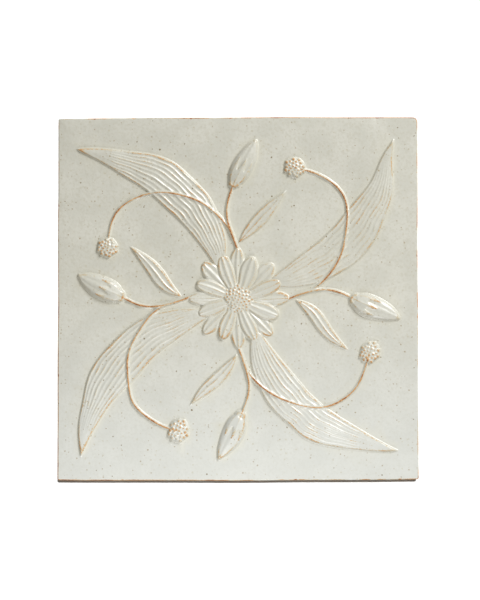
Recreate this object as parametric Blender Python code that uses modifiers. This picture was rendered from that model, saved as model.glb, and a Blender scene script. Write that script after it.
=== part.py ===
"""Square handmade tile in glazed stoneware, lying face up, made as one fired piece.

Metres, +Z up. The origin is the centre of the back, +X runs to the right of the face and +Y
to its top. The slab has slightly uneven edges, sides that draw in towards the back, keying
grooves in the back, and on its face a raised whirl of leaves, buds and berries round a daisy.
"""

import math

import bmesh
import bpy
from mathutils import Matrix, Vector

MM = 0.001

# Slab: how far each corner of the face lies from its middle, and how far each side bows out
THICKNESS = 11.0 * MM
LEFT_AT_TOP, LEFT_AT_BOTTOM = 99.9 * MM, 100.5 * MM
RIGHT_AT_TOP, RIGHT_AT_BOTTOM = 99.7 * MM, 100.4 * MM
TOP_AT_LEFT, TOP_AT_RIGHT = 100.2 * MM, 101.0 * MM
BOTTOM_AT_LEFT, BOTTOM_AT_RIGHT = 100.8 * MM, 100.3 * MM
BOW = {"bottom": 0.40 * MM, "right": -0.10 * MM, "top": 0.35 * MM, "left": -0.05 * MM}
WAVE = 0.10 * MM
SIDE_STEPS = 9
TIGHT_CORNER, WORN_CORNER = 0.9 * MM, 2.6 * MM
CORNER_STEPS = 4
SIDE_DRAFT = 1.6 * MM
ARRIS = 0.8 * MM

# Keying grooves in the back
GROOVE_COUNT = 6
GROOVE_PITCH = 28.0 * MM
GROOVE_WIDTH = 7.0 * MM
GROOVE_DEPTH = 1.5 * MM
GROOVE_LENGTH = 160.0 * MM

# Relief plan. A point of a path is its distance from the middle of the face in millimetres
# and its angle in degrees. Each arm of the whirl is the first one turned by a quarter, with
# a little swing and reach of its own, as carving by hand leaves it.
ARM_COUNT = 4
ARM_SWING = (0.0, 1.3, -1.0, 0.7)
ARM_REACH = (1.0, 0.985, 1.005, 0.99)
BROAD_LEAF_PATH = ((16, 34), (66, 14), (96, 34), (124, 46))
SLIM_LEAF_PATH = ((31, -2), (44, -12), (56, -22), (67, -25))
BUD_STEM_PATH = ((20, -12), (44, 10), (52, 8), (66, 0))
BERRY_STEM_PATH = ((35, 4), (62, 9), (103, 40), (80, 67))

# Relief sizes. Heights are above the face, and every form is rooted a little below it.
BROAD_LEAF_WIDTH, BROAD_LEAF_HEIGHT = 24.0 * MM, 1.5 * MM
SLIM_LEAF_WIDTH, SLIM_LEAF_HEIGHT = 8.5 * MM, 1.2 * MM
STEM_WIDTH, STEM_END_WIDTH, STEM_HEIGHT = 2.3 * MM, 1.7 * MM, 1.3 * MM
BUD_LENGTH, BUD_WIDTH, BUD_HEIGHT = 25.0 * MM, 12.5 * MM, 2.6 * MM
BERRY_RADIUS, BERRY_HEIGHT = 6.4 * MM, 2.6 * MM
PETALS_PER_RING = 8
PETAL_ROOT = 5.0 * MM
PETAL_REACH = (28.0 * MM, 25.0 * MM)
PETAL_WIDTH = 9.4 * MM
PETAL_HEIGHT = (1.3 * MM, 2.0 * MM)
EYE_RADIUS, EYE_HEIGHT = 9.0 * MM, 3.2 * MM
ROOT_DEPTH = 0.4 * MM
LEAF_STEPS, STEM_STEPS, BUD_STEPS = 14, 14, 8

GLAZE_COLOUR = (0.62, 0.61, 0.54, 1.0)
GLAZE_ROUGHNESS = 0.45


def clear_scene():
    for item in list(bpy.data.objects):
        bpy.data.objects.remove(item, do_unlink=True)


def new_collection(name):
    collection = bpy.data.collections.new(name)
    bpy.context.scene.collection.children.link(collection)
    return collection


def add_object(name, data, collection, helper=False):
    """An object in its collection. A helper is drawn as wires and isn't rendered."""
    item = bpy.data.objects.new(name, data)
    collection.objects.link(item)
    if helper:
        item.hide_render = True
        item.display_type = "WIRE"
    return item


def glaze_material():
    material = bpy.data.materials.new("glaze")
    material.use_nodes = True
    shader = material.node_tree.nodes["Principled BSDF"]
    shader.inputs["Base Color"].default_value = GLAZE_COLOUR
    shader.inputs["Roughness"].default_value = GLAZE_ROUGHNESS
    shader.inputs["Metallic"].default_value = 0.0
    return material


def shade_smooth(mesh):
    """Smooth shading, with creases left where faces meet at more than 40 degrees."""
    mesh.shade_smooth()
    mesh.set_sharp_from_angle(angle=math.radians(40))


def side_points(start, end, bow, phase):
    """Points strictly between two corners, pushed outwards by a bow and a slight wave."""
    along = end - start
    outwards = Vector((along.y, -along.x)).normalized()
    points = []
    for step in range(1, SIDE_STEPS):
        share = step / SIDE_STEPS
        swell = bow * 4 * share * (1 - share)
        ripple = WAVE * math.sin(5 * math.pi * share + phase) * math.sin(math.pi * share)
        points.append(start + along * share + outwards * (swell + ripple))
    return points


def corner_points(corner, way, radius, first_angle):
    """The quarter arc that rounds a corner, whose signs along X and Y are in way."""
    centre = corner - way * radius
    points = []
    for step in range(CORNER_STEPS + 1):
        angle = math.radians(first_angle + 90 * step / CORNER_STEPS)
        points.append(centre + radius * Vector((math.cos(angle), math.sin(angle))))
    return points


def face_outline():
    """The face's outline, anticlockwise from the bottom left, with its box centred."""
    arcs = [
        corner_points(Vector((-LEFT_AT_BOTTOM, -BOTTOM_AT_LEFT)), Vector((-1, -1)), TIGHT_CORNER, 180),
        corner_points(Vector((RIGHT_AT_BOTTOM, -BOTTOM_AT_RIGHT)), Vector((1, -1)), TIGHT_CORNER, 270),
        corner_points(Vector((RIGHT_AT_TOP, TOP_AT_RIGHT)), Vector((1, 1)), WORN_CORNER, 0),
        corner_points(Vector((-LEFT_AT_TOP, TOP_AT_LEFT)), Vector((-1, 1)), TIGHT_CORNER, 90),
    ]
    points = []
    for index, bow in enumerate(BOW.values()):
        next_arc = arcs[(index + 1) % len(arcs)]
        points += arcs[index]
        points += side_points(arcs[index][-1], next_arc[0], bow, phase=index)
    middle = Vector([(min(values) + max(values)) / 2 for values in zip(*points)])
    return [point - middle for point in points]


def straight_curve(name, points, radii=None, closed=False):
    """A flat curve of one straight-sided spline, with a radius for each of its points."""
    curve = bpy.data.curves.new(name, "CURVE")
    curve.dimensions = "2D"
    spline = curve.splines.new("POLY")
    spline.points.add(len(points) - 1)
    for index, (x, y) in enumerate(points):
        spline.points[index].co = (x, y, 0, 1)
        spline.points[index].radius = radii[index] if radii else 1
    spline.use_cyclic_u = closed
    return curve


def mesh_of(item):
    """The welded mesh of a curve object, in world space. The curve is removed."""
    bpy.context.view_layer.update()
    evaluated = item.evaluated_get(bpy.context.evaluated_depsgraph_get())
    mesh = bpy.data.meshes.new_from_object(evaluated)
    mesh.transform(item.matrix_world)
    shape = bmesh.new()
    shape.from_mesh(mesh)
    bmesh.ops.remove_doubles(shape, verts=shape.verts, dist=0.00001)
    bmesh.ops.recalc_face_normals(shape, faces=shape.faces)
    shape.to_mesh(mesh)
    shape.free()
    shade_smooth(mesh)
    bpy.data.objects.remove(item, do_unlink=True)
    return mesh


def add_slab(collection):
    """The bare slab: the outline extruded, drawn in towards the back, its arrises eased."""
    curve = straight_curve("outline", face_outline(), closed=True)
    curve.fill_mode = "BOTH"
    curve.extrude = THICKNESS / 2
    outline = add_object("outline", curve, collection)
    outline.location.z = THICKNESS / 2
    mesh = mesh_of(outline)
    mesh.name = "tile"

    shape = bmesh.new()
    shape.from_mesh(mesh)
    for way in (1, -1):
        bmesh.ops.dissolve_faces(shape, faces=[face for face in shape.faces if face.normal.z * way > 0.9])
    drawn_in = 1 - SIDE_DRAFT / LEFT_AT_BOTTOM
    for vertex in shape.verts:
        if vertex.co.z < THICKNESS / 2:
            vertex.co.x *= drawn_in
            vertex.co.y *= drawn_in
    shape.to_mesh(mesh)
    shape.free()
    shade_smooth(mesh)

    slab = add_object("tile", mesh, collection)
    arris = slab.modifiers.new("arris", "BEVEL")
    arris.width = ARRIS
    arris.segments = 3
    arris.limit_method = "ANGLE"
    arris.angle_limit = math.radians(50)
    arris.use_clamp_overlap = False
    return slab


def add_grooves(collection):
    """Round-bottomed cutters for the grooves in the back, which stop short of its edges."""
    radius = (GROOVE_WIDTH**2 / 4 + GROOVE_DEPTH**2) / (2 * GROOVE_DEPTH)
    stretch = (GROOVE_LENGTH - GROOVE_WIDTH) / 2
    for index in range(GROOVE_COUNT):
        shape = bmesh.new()
        bmesh.ops.create_uvsphere(shape, u_segments=18, v_segments=11, radius=radius)
        bmesh.ops.rotate(shape, verts=shape.verts, matrix=Matrix.Rotation(math.pi / 2, 3, "Y"))
        for vertex in shape.verts:
            vertex.co.x += math.copysign(stretch, vertex.co.x)
        mesh = bpy.data.meshes.new(f"groove_{index + 1}")
        shape.to_mesh(mesh)
        shape.free()
        shade_smooth(mesh)
        cutter = add_object(mesh.name, mesh, collection, helper=True)
        cutter.location.y = (index - (GROOVE_COUNT - 1) / 2) * GROOVE_PITCH
        cutter.location.z = GROOVE_DEPTH - radius


def on_arm(arm, distance, angle):
    """A point of a path in the relief plan, carried to the given arm."""
    turned = math.radians(angle + ARM_SWING[arm] + 360 * arm / ARM_COUNT)
    return Vector((math.cos(turned), math.sin(turned))) * distance * ARM_REACH[arm] * MM


def carved_line(arm, path, steps):
    """Points along the cubic Bezier curve that a path's four points control."""
    start, leaving, arriving, end = (on_arm(arm, *point) for point in path)
    points = []
    for step in range(steps + 1):
        t = step / steps
        u = 1 - t
        points.append(u**3 * start + 3 * t * u**2 * leaving + 3 * t**2 * u * arriving + t**3 * end)
    return points


def leaf_half_width(share, width):
    """Half of a leaf's width at a share of its length: widest near the middle, pointed."""
    return width / 2 * math.sin(math.pi * share**0.9) ** 0.9 * (1 - 0.15 * share) + 0.3 * MM


def bud_half_width(share):
    """Half of a bud's width at a share of its length: blunt at the stem, pointed at the tip."""
    return BUD_WIDTH / 2 * math.sqrt(math.sin(math.pi * (0.05 + 0.93 * share) ** 0.72))


def add_swept(name, line, half_widths, section, collection):
    """A form whose section, two units wide, is carried along a line at the given half widths."""
    curve = straight_curve(name, line, half_widths)
    curve.bevel_mode = "OBJECT"
    curve.bevel_object = section
    curve.use_fill_caps = True
    swept = add_object(name, curve, collection)
    swept.location.z = THICKNESS
    return add_object(name, mesh_of(swept), collection, helper=True)


def add_section(name, height, width, collection):
    """The arched section of a form with this height and full width, drawn two units wide."""
    unit = width / 2
    crown, eaves, root = height / unit, 0.12 * height / unit, -ROOT_DEPTH / unit
    points = [(-1, root), (1, root), (1, eaves)]
    for step in range(1, 6):
        angle = math.pi * step / 6
        points.append((math.cos(angle), eaves + (crown - eaves) * math.sin(angle)))
    points.append((-1, eaves))
    return add_object(name, straight_curve(name, points, closed=True), collection, helper=True)


def add_stem(name, line, collection):
    """A round stem, sunk to about half its thickness and drawn thinner towards its end."""
    steps = len(line) - 1
    thinning = 1 - STEM_END_WIDTH / STEM_WIDTH
    curve = straight_curve(name, line, [1 - thinning * step / steps for step in range(steps + 1)])
    curve.bevel_depth = STEM_WIDTH / 2
    curve.bevel_resolution = 2
    curve.use_fill_caps = True
    stem = add_object(name, curve, collection)
    stem.location.z = THICKNESS + STEM_HEIGHT - STEM_WIDTH / 2
    return add_object(name, mesh_of(stem), collection, helper=True)


def add_dome(name, centre, half_length, half_width, height, angle, collection):
    """A flattened ball, rooted in the face, with its length turned by an angle about Z."""
    shape = bmesh.new()
    bmesh.ops.create_uvsphere(shape, u_segments=16, v_segments=8, radius=1)
    size = Vector((half_length, half_width, height + ROOT_DEPTH))
    bmesh.ops.scale(shape, vec=size, verts=shape.verts)
    mesh = bpy.data.meshes.new(name)
    shape.to_mesh(mesh)
    shape.free()
    shade_smooth(mesh)
    dome = add_object(name, mesh, collection, helper=True)
    dome.location = (centre.x, centre.y, THICKNESS - ROOT_DEPTH)
    dome.rotation_euler.z = angle
    return dome


def add_arm(arm, sections, collection):
    """One arm of the whirl: a broad leaf, a slim leaf, a bud and a berry on their stems."""
    for kind, path, width in (
        ("broad_leaf", BROAD_LEAF_PATH, BROAD_LEAF_WIDTH),
        ("slim_leaf", SLIM_LEAF_PATH, SLIM_LEAF_WIDTH),
    ):
        line = carved_line(arm, path, LEAF_STEPS)
        half_widths = [leaf_half_width(step / LEAF_STEPS, width) for step in range(LEAF_STEPS + 1)]
        add_swept(f"{kind}_{arm + 1}", line, half_widths, sections[kind], collection)

    line = carved_line(arm, BUD_STEM_PATH, STEM_STEPS)
    add_stem(f"bud_stem_{arm + 1}", line, collection)
    heading = (line[-1] - line[-2]).normalized()
    shares = [step / BUD_STEPS for step in range(BUD_STEPS + 1)]
    axis = [line[-1] + heading * BUD_LENGTH * share for share in shares]
    half_widths = [bud_half_width(share) for share in shares]
    add_swept(f"bud_{arm + 1}", axis, half_widths, sections["bud"], collection)

    line = carved_line(arm, BERRY_STEM_PATH, STEM_STEPS)
    add_stem(f"berry_stem_{arm + 1}", line, collection)
    add_dome(f"berry_{arm + 1}", line[-1], BERRY_RADIUS, BERRY_RADIUS, BERRY_HEIGHT, 0.0, collection)


def add_daisy(collection):
    """Two rings of petals, the upper one between the petals of the lower, and a domed eye."""
    for ring, (reach, height) in enumerate(zip(PETAL_REACH, PETAL_HEIGHT)):
        for index in range(PETALS_PER_RING):
            angle = 2 * math.pi * (index + ring / 2) / PETALS_PER_RING
            centre = Vector((math.cos(angle), math.sin(angle))) * (PETAL_ROOT + reach) / 2
            half_length = (reach - PETAL_ROOT) / 2
            name = f"petal_{ring + 1}_{index + 1}"
            add_dome(name, centre, half_length, PETAL_WIDTH / 2, height, angle, collection)
    add_dome("eye", Vector((0, 0)), EYE_RADIUS, EYE_RADIUS, EYE_HEIGHT, 0.0, collection)


def combine(slab, name, operation, collection):
    """Cuts or joins everything in a collection into the slab, which stays one body."""
    step = slab.modifiers.new(name, "BOOLEAN")
    step.operation = operation
    step.operand_type = "COLLECTION"
    step.collection = collection
    step.solver = "EXACT"


def main():
    clear_scene()
    tile = new_collection("handmade_tile")
    guides = new_collection("guides")
    grooves = new_collection("grooves")
    relief = new_collection("relief")

    sections = {
        "broad_leaf": add_section("broad_leaf_section", BROAD_LEAF_HEIGHT, BROAD_LEAF_WIDTH, guides),
        "slim_leaf": add_section("slim_leaf_section", SLIM_LEAF_HEIGHT, SLIM_LEAF_WIDTH, guides),
        "bud": add_section("bud_section", BUD_HEIGHT, BUD_WIDTH, guides),
    }
    for arm in range(ARM_COUNT):
        add_arm(arm, sections, relief)
    add_daisy(relief)
    add_grooves(grooves)

    slab = add_slab(tile)
    slab.data.materials.append(glaze_material())
    combine(slab, "keying grooves", "DIFFERENCE", grooves)
    combine(slab, "raised relief", "UNION", relief)


main()
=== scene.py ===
"""Looks of a square handmade tile: a stoneware slab with a carved whirl under a satin glaze.

Blender works in metres. Sizes inside the classes are millimetres, and a place on the face is
given from its middle, +X to the right and +Y to the top, as in the CAD model.
"""

import logging
import math
from abc import ABC, abstractmethod
from collections.abc import Iterable, Iterator, Sequence
from dataclasses import dataclass, field, fields
from enum import Enum

import bpy
import numpy as np
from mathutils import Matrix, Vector


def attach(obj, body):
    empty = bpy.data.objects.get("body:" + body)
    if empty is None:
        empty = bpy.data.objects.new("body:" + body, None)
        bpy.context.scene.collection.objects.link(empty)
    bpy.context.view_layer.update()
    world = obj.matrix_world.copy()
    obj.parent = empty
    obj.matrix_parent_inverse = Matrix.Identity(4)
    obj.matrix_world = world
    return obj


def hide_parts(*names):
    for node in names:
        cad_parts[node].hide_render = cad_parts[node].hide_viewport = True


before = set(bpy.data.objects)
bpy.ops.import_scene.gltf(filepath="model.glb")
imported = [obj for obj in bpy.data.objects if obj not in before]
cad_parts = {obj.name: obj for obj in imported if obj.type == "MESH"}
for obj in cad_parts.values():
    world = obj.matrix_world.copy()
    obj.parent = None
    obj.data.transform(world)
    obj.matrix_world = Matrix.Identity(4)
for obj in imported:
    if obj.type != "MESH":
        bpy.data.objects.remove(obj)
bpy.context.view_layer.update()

Array = np.ndarray
Colour = tuple[float, float, float]
Feed = float | tuple[float, ...] | bpy.types.NodeSocket
Window = tuple[slice, slice]
MM = 0.001
FACE_HEIGHT = 11.0
SIDE_LENGTH = 200.0
GOLDEN_ANGLE = 137.508
IRON: Colour = (0.285, 0.195, 0.075)
log = logging.getLogger("tile")


class Detail(Enum):
    """How many points lie along one edge of the face, one more than a multiple of four."""

    QUICK = 401
    FULL = 665


def smooth(value: Array) -> Array:
    """The smooth step 3t² - 2t³ of a value, held between 0 and 1."""
    t = np.clip(value, 0.0, 1.0)
    return t * t * (3 - 2 * t)


def ripple(x: Array, y: Array, wavelength: float, seed: int) -> Array:
    """Smooth unevenness whose typical size is one.

    The sum of twelve sine waves over the square root of half their count. Each wave's heading,
    phase and length, from 0.7 to 1.5 of the wavelength, are drawn from the seed.

    Args:
        x: Places along X.
        y: Places along Y.
        wavelength: The usual length of a wave, in the unit of x and y.
        seed: The seed of the draws.

    Returns:
        The unevenness at each place.
    """
    waves = 12
    draw = np.random.default_rng(seed)
    total = np.zeros(np.broadcast(x, y).shape)
    for _ in range(waves):
        heading, phase = draw.uniform(0, 2 * math.pi, 2)
        pace = 2 * math.pi / (wavelength * draw.uniform(0.7, 1.5))
        total += np.sin(pace * (math.cos(heading) * x + math.sin(heading) * y) + phase)
    return total / math.sqrt(waves / 2)


def spread(heights: Array, reach: float) -> Array:
    """The mean of a grid about each of its points, weighed by a bell curve.

    Rows and then columns are summed over shifted copies, each with the weight
    exp(-shift² / 2 reach²), so that the weights together make one.

    Args:
        heights: The grid.
        reach: The bell curve's standard deviation, in grid steps.

    Returns:
        The spread grid.
    """
    half = max(1, math.ceil(3 * reach))
    shifts = np.arange(-half, half + 1)
    weights = np.exp(-(shifts**2) / (2 * reach**2))
    weights /= weights.sum()
    for axis in (0, 1):
        margin = [(half, half) if axis == n else (0, 0) for n in (0, 1)]
        wide = np.pad(heights, margin, mode="edge")
        count = heights.shape[axis]
        cuts = [np.take(wide, np.arange(half + s, half + s + count), axis) for s in shifts]
        heights = sum(weight * cut for weight, cut in zip(weights, cuts, strict=True))
    return heights


def place(distance: float, degrees: float) -> Array:
    """The point at a distance from the middle of the face and an angle from +X."""
    angle = math.radians(degrees)
    return np.array((distance * math.cos(angle), distance * math.sin(angle)))


@dataclass(frozen=True)
class Line:
    """A line carved on the face, as the places that its Bezier curve is controlled by."""

    controls: tuple[Array, ...]

    COUNT = 80

    def points(self) -> Array:
        """The Bezier curve: the controls weighed by Bernstein's polynomials.

        Returns:
            Points along the curve, spaced evenly in its parameter.
        """
        t = np.linspace(0, 1, self.COUNT)[:, None]
        last = len(self.controls) - 1
        weights = [math.comb(last, n) * t**n * (1 - t) ** (last - n) for n in range(last + 1)]
        return sum(weight * control for weight, control in zip(weights, self.controls, strict=True))

    def heading(self) -> Array:
        """The direction in which the line ends."""
        step = self.controls[-1] - self.controls[-2]
        return step / np.hypot(*step)


@dataclass
class Face:
    """The tile's face while it is carved: its places, and heights above the level of the field."""

    x: Array
    y: Array
    body: Array = field(init=False)
    fine: Array = field(init=False)
    bare: Array = field(init=False)
    pitch: float = field(init=False)
    worn_x: Array = field(init=False)
    worn_y: Array = field(init=False)

    HAND_DRIFT = 0.45
    HAND_WAVELENGTH = 34.0

    def __post_init__(self) -> None:
        """Starts level, with places that drift a little, as a line drawn by hand does."""
        self.body = np.zeros_like(self.x)
        self.fine = np.zeros_like(self.x)
        self.bare = np.zeros_like(self.x)
        self.pitch = float(self.x[0, -1] - self.x[0, 0]) / (self.x.shape[1] - 1)
        drift = self.HAND_DRIFT
        self.worn_x = self.x + drift * ripple(self.x, self.y, self.HAND_WAVELENGTH, 11)
        self.worn_y = self.y + drift * ripple(self.x, self.y, self.HAND_WAVELENGTH, 12)

    def around(self, points: Array, margin: float) -> Window:
        """The part of the grid that holds some points.

        Args:
            points: The points.
            margin: The room round them, to which two millimetres are added.

        Returns:
            The rows and the columns.
        """
        low, high = points.min(0) - margin - 2, points.max(0) + margin + 2
        middle = self.x.shape[0] // 2
        columns = np.searchsorted(self.x[middle], (low[0], high[0]))
        rows = np.searchsorted(self.y[:, middle], (low[1], high[1]))
        return slice(*rows), slice(*columns)

    def along(self, points: Array, window: Window) -> tuple[Array, Array]:
        """Where each place lies along a line of straight stretches.

        Each stretch in turn offers its nearest point, and a place keeps the nearest of all.

        Args:
            points: The line's points.
            window: The part of the face to work on.

        Returns:
            The share of the line's length at the nearest point, and the distance to it, which
            is positive on the left of the line.
        """
        x, y = self.worn_x[window], self.worn_y[window]
        steps = np.diff(points, axis=0)
        lengths = np.hypot(*steps.T)
        starts = np.concatenate(([0.0], np.cumsum(lengths)))
        nearest = np.full(x.shape, np.inf)
        share, across = np.zeros_like(x), np.zeros_like(x)
        for start, step, length, before in zip(points, steps, lengths, starts, strict=False):
            dx, dy = x - start[0], y - start[1]
            t = np.clip((dx * step[0] + dy * step[1]) / length**2, 0, 1)
            off_x, off_y = dx - t * step[0], dy - t * step[1]
            square = off_x**2 + off_y**2
            closer = square < nearest
            side = np.sign(step[0] * dy - step[1] * dx)
            nearest = np.where(closer, square, nearest)
            share = np.where(closer, (before + t * length) / starts[-1], share)
            across = np.where(closer, side * np.sqrt(square), across)
        return share, across

    def stroke(self, points: Array, margin: float) -> tuple[Window, Array, Array]:
        """The window round a line, and the share along it and the distance across it there."""
        window = self.around(points, margin)
        return window, *self.along(points, window)

    def disc(self, centre: Array, radius: float) -> tuple[Window, Array]:
        """The places round a point.

        Args:
            centre: The point.
            radius: The radius of the disc about it.

        Returns:
            The window round the disc, and the square of each place's distance there, in
            radii and up to one.
        """
        window = self.around(centre[None], radius)
        far = np.hypot(self.worn_x[window] - centre[0], self.worn_y[window] - centre[1])
        return window, np.clip((far / radius) ** 2, 0, 1)

    def raise_to(self, window: Window, body: Array, fine: Array) -> None:
        """Lays a form on the face, with its fine relief, where its body is the highest yet.

        Args:
            window: The part of the face that the form lies on.
            body: The form's heights.
            fine: The fine relief's heights over it.
        """
        over = body > self.body[window]
        self.body[window] = np.where(over, body, self.body[window])
        self.fine[window] = np.where(over, fine, self.fine[window])

    def cover(self, window: Window, inside: Array, body: Array, fine: Array) -> None:
        """Lays a form over whatever is there, which shows no more where it is covered.

        Args:
            window: The part of the face that the form lies on.
            inside: How far the form covers each place, from 0 to 1.
            body: The form's heights.
            fine: The fine relief's heights over it.
        """
        self.body[window] = np.maximum(body, self.body[window] * (1 - inside))
        self.fine[window] = fine * inside + self.fine[window] * (1 - inside)
        self.bare[window] *= 1 - inside

    def mark_bare(self, window: Window, amount: Array) -> None:
        """Thins the glaze over a crest."""
        self.bare[window] = np.maximum(self.bare[window], amount)


@dataclass(frozen=True)
class Leaf:
    """A long leaf with raised veins that run from its base to its tip."""

    line: Line
    width: float
    height: float
    veins: int
    vein_height: float = 0.42
    rim_height: float = 0.30
    edge_rise: float = 1.0

    def carve(self, face: Face) -> None:
        """Raises the leaf.

        With v the distance across over the half width, the blade is highest along its middle
        and falls off as v², over an edge that rises in a smooth step. The veins are powers of
        raised cosines in v, so they draw together towards both ends. Each has a strength of its
        own, the sine of its number, and wavers a little.

        Args:
            face: The face being carved.
        """
        window, share, across = face.stroke(self.line.points(), self.width / 2)
        half = self.width / 2 * np.sin(np.pi * share**0.9) ** 0.9 * (1 - 0.15 * share) + 0.3
        v = np.clip(across / half, -1, 1)
        inward = (1 - np.abs(v)) * half
        rise = smooth(inward / self.edge_rise)
        blade = self.height * rise * (0.52 + 0.48 * (1 - v**2))

        gap = 2 * half / self.veins
        x, y = face.x[window], face.y[window]
        wavered = v + 0.022 * ripple(x, y, 17.0, 22)
        number = np.round(wavered * self.veins / 2)
        unsteady = 1 + 0.18 * ripple(x, y, 8.0, 21) + 0.22 * np.sin(2.7 * number + self.width)
        vein = (0.5 + 0.5 * np.cos(np.pi * wavered * self.veins)) ** 3
        strength = self.vein_height * smooth((gap - 0.45) / 1.3) * unsteady
        rim = self.rim_height * np.exp(-(((inward - 0.75) / 0.5) ** 2)) * smooth(half / 3)
        fine = (vein * strength * smooth((inward - 0.5) / 1.2) + rim) * rise
        face.raise_to(window, blade, fine)
        edge_line = np.exp(-(((inward - 0.7) / 0.33) ** 2)) * smooth(half / 2)
        at_tip = 0.30 + 0.34 * smooth((share - 0.88) / 0.08)
        face.mark_bare(window, np.maximum(at_tip * edge_line, 0.31 * vein**2 * rise))


@dataclass(frozen=True)
class Stem:
    """A round stem that lies on the face and climbs over whatever is there already."""

    line: Line
    width: float = 2.3
    end_width: float = 1.7
    height: float = 1.3

    def carve(self, face: Face) -> None:
        """Raises the stem.

        With u the distance across over its foot's half width, the stem's section is half
        (1 - u²) to the power 1.4 and half a tent, 1 - u, so that its crest is narrow. It rides
        on the ground below, which is spread out so that the stem bends over a step instead of
        breaking on it, and fine relief under it is covered.

        Args:
            face: The face being carved.
        """
        window, share, across = face.stroke(self.line.points(), 4 * self.width)
        half = (self.width + (self.end_width - self.width) * share) / 2
        u = np.clip(np.abs(across) / (1.3 * half), 0, 1)
        section = 0.5 * (1 - u**2) ** 1.4 + 0.5 * (1 - u)
        cover = smooth(section * 1.6)
        ground = face.body[window]
        bed = np.maximum(spread(ground, 1.4 / face.pitch), 0.55 * ground)
        swell = 1 + 0.10 * ripple(face.x[window], face.y[window], 7.0, 31)
        face.body[window] = ground + cover * (bed - ground) + self.height * section * swell
        face.fine[window] *= 1 - cover
        face.bare[window] *= 1 - cover
        face.mark_bare(window, np.exp(-((u / 0.36) ** 2)))


@dataclass(frozen=True)
class Bead:
    """A round bead of clay."""

    centre: Array
    radius: float
    base: float
    height: float
    bareness: float = 0.9

    def carve(self, face: Face) -> None:
        """Raises a ball cap, height √(1 - r²), on a base level, with its crest rubbed bare.

        Args:
            face: The face being carved.
        """
        window, square = face.disc(self.centre, self.radius)
        cap = np.where(square < 1, self.base + self.height * np.sqrt(1 - square), 0)
        face.raise_to(window, cap, np.zeros_like(cap))
        face.mark_bare(window, self.bareness * np.exp(-square / 0.19))


@dataclass(frozen=True)
class BeadedDome:
    """A low dome packed with beads in a sunflower's spiral."""

    centre: Array
    radius: float
    height: float
    bead_radius: float
    bead_height: float = 0.8
    seed: int = 0

    def carve(self, face: Face) -> None:
        """Raises the dome, height (1 - r²)^0.6, and then its beads.

        Bead n lies at n golden angles, at a radius that grows as the square root of n.

        Args:
            face: The face being carved.
        """
        window, square = face.disc(self.centre, 0.93 * self.radius)
        dome = self.height * (1 - square) ** 0.6
        face.raise_to(window, dome, np.zeros_like(dome))
        draw = np.random.default_rng(self.seed)
        count = int(0.74 * (self.radius / self.bead_radius) ** 2)
        for n in range(count):
            out = (self.radius - self.bead_radius) * math.sqrt((n + 0.4) / count)
            spot = self.centre + place(out, GOLDEN_ANGLE * n) + draw.normal(0, 0.07, 2)
            under = self.height * (1 - min(0.97, (out / self.radius) ** 2)) ** 0.6
            size = self.bead_radius * draw.uniform(0.9, 1.08)
            Bead(spot, size, 0.86 * under, self.bead_height * size).carve(face)


@dataclass(frozen=True)
class Bud:
    """A closed bud: furrowed petals that come out of a cup of short pointed sepals."""

    foot: Array
    heading: Array
    length: float = 25.0
    width: float = 12.5
    height: float = 2.6

    def carve(self, face: Face) -> None:
        """Raises the bud.

        Its half width is the square root of a skewed sine of the share along it, so that it is
        blunt at the stem and pointed at the tip. Its section is an ellipse. Furrows are cosines
        across it. The cup is a step whose rim is a zigzag of three points, each with a rib that
        runs up to it, and a round knob joins it to the stem.

        Args:
            face: The face being carved.
        """
        points = self.foot + self.heading * self.length * np.linspace(0, 1, 24)[:, None]
        window, share, across = face.stroke(points, self.width / 2)
        skewed = (0.05 + 0.93 * share) ** 0.72
        half = self.width / 2 * np.sqrt(np.sin(np.pi * skewed))
        v = np.clip(across / half, -1, 1)
        arch = np.sqrt(1 - v**2)
        body = self.height * arch * (0.55 + 0.45 * np.sin(np.pi * skewed))
        ends = np.where(np.abs(across) < half, 1.0, 0.0)

        point = np.abs(((v * 1.5) % 1) * 2 - 1)
        rim = 0.24 + 0.28 * point**1.6
        cup = smooth((rim - share) * self.length / 0.8 + 0.5)
        furrows = 0.34 * (np.abs(np.cos(np.pi * v * 1.5)) ** 0.7 - 0.6) * smooth(half / 3)
        rib = 0.38 * point**5
        fine = (furrows * (1 - cup) + (0.46 + rib) * cup) * arch
        face.raise_to(window, body * ends, fine * ends)
        rim_line = np.exp(-(((rim - share - 0.015) * self.length / 0.45) ** 2)) * ends
        face.mark_bare(window, rim_line * (0.42 + 0.50 * point**3) * arch)
        Bead(self.foot - 0.4 * self.heading, 2.3, 0.5, 1.5, bareness=0.6).carve(face)


@dataclass(frozen=True)
class Petal:
    """A petal of the daisy, blunt at its end and ridged along its length."""

    degrees: float
    root: float
    reach: float
    width: float
    height: float

    def carve(self, face: Face) -> None:
        """Raises the petal.

        Its half width is a power of a skewed sine of the share along it. The section falls off
        as v², and three ridges are cosines in v.

        Args:
            face: The face being carved.
        """
        ends = place(self.root, self.degrees), place(self.reach, self.degrees)
        points = ends[0] + (ends[1] - ends[0]) * np.linspace(0, 1, 12)[:, None]
        window, share, across = face.stroke(points, self.width / 2)
        half = self.width / 2 * np.clip(np.sin(np.pi * (0.12 + 0.88 * share**1.5)), 0.02, 1) ** 0.55
        v = np.clip(across / half, -1, 1)
        inward = (1 - np.abs(v)) * half
        inside = np.abs(across) < half
        rise = smooth(inward / 0.9) * smooth((1 - share) * self.reach / 1.3)
        body = self.height * rise * (0.6 + 0.4 * (1 - v**2)) * (0.8 + 0.2 * share)
        fine = 0.24 * np.cos(np.pi * v * 3) * rise
        face.cover(window, np.where(inside, smooth(rise * 2), 0), np.where(inside, body, 0), fine)
        face.mark_bare(window, np.where(inside, 0.48 * np.exp(-(((inward - 0.6) / 0.4) ** 2)), 0))


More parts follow.
